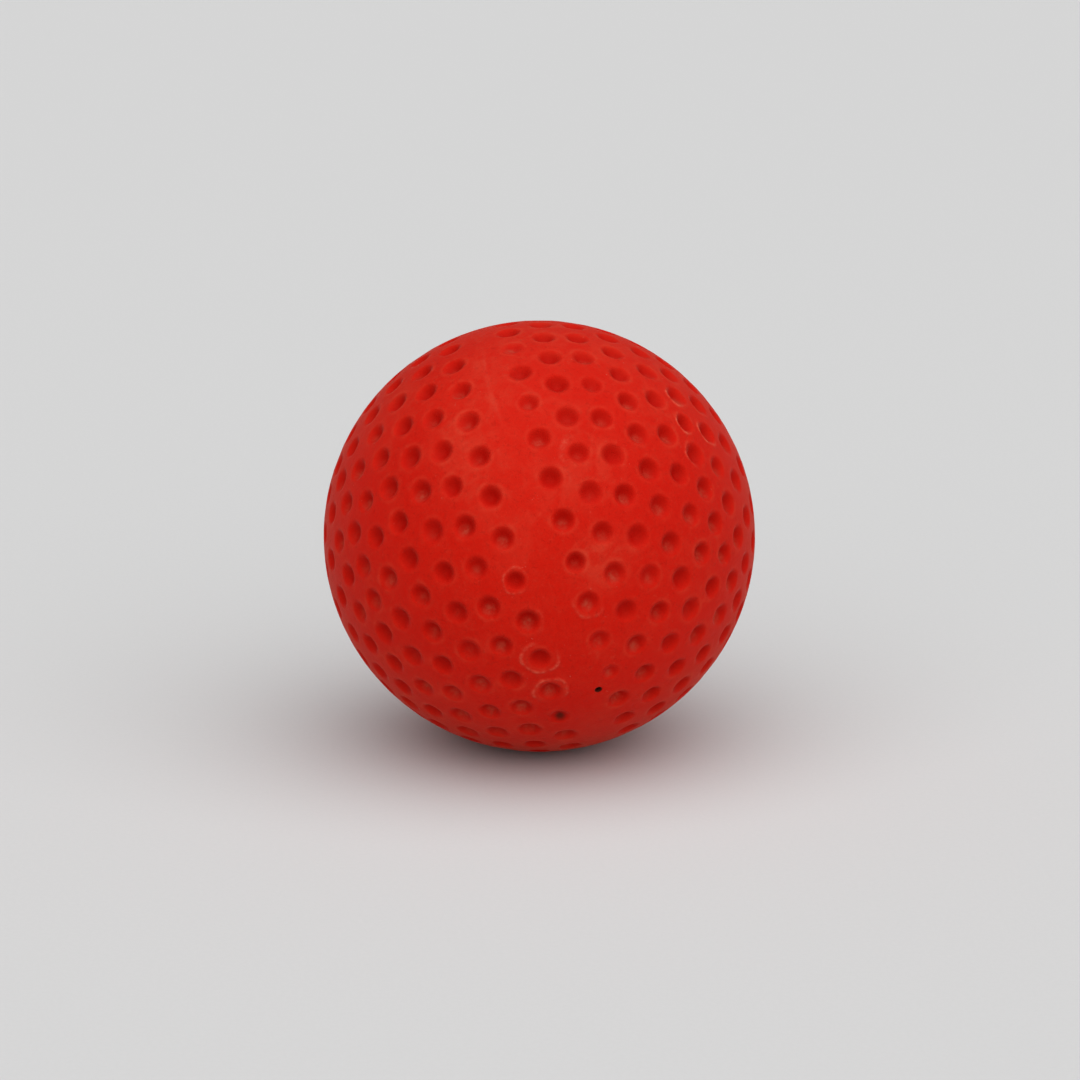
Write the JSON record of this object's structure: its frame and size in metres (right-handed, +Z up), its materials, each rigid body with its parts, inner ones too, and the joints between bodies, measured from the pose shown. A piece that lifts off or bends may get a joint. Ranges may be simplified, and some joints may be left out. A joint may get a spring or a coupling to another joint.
{
  "type": "playground rubber ball",
  "caption": "Hollow dimpled red rubber ball in two bonded halves, with a smooth seam band and a needle inflation hole.",
  "frame": {"origin": "centre of the ball", "axes": "+Z up as the ball lies, +X to the right of the pictured view, +Y away from it. The moulding axis through the two poles leans 16.5 degrees up from +X in the XZ plane, and the seam plane is square to it"},
  "size_m": [0.072, 0.072, 0.072],
  "materials": {
    "moulded_rubber": "matte",
    "cement": "matte",
    "soft_gum": "satin"
  },
  "bodies": {
    "root": {"hole_half_shell": "moulded_rubber", "plain_half_shell": "moulded_rubber", "seam_cement_ring": "cement", "self_sealing_gum_pad": "soft_gum"}
  },
  "joints": []
}
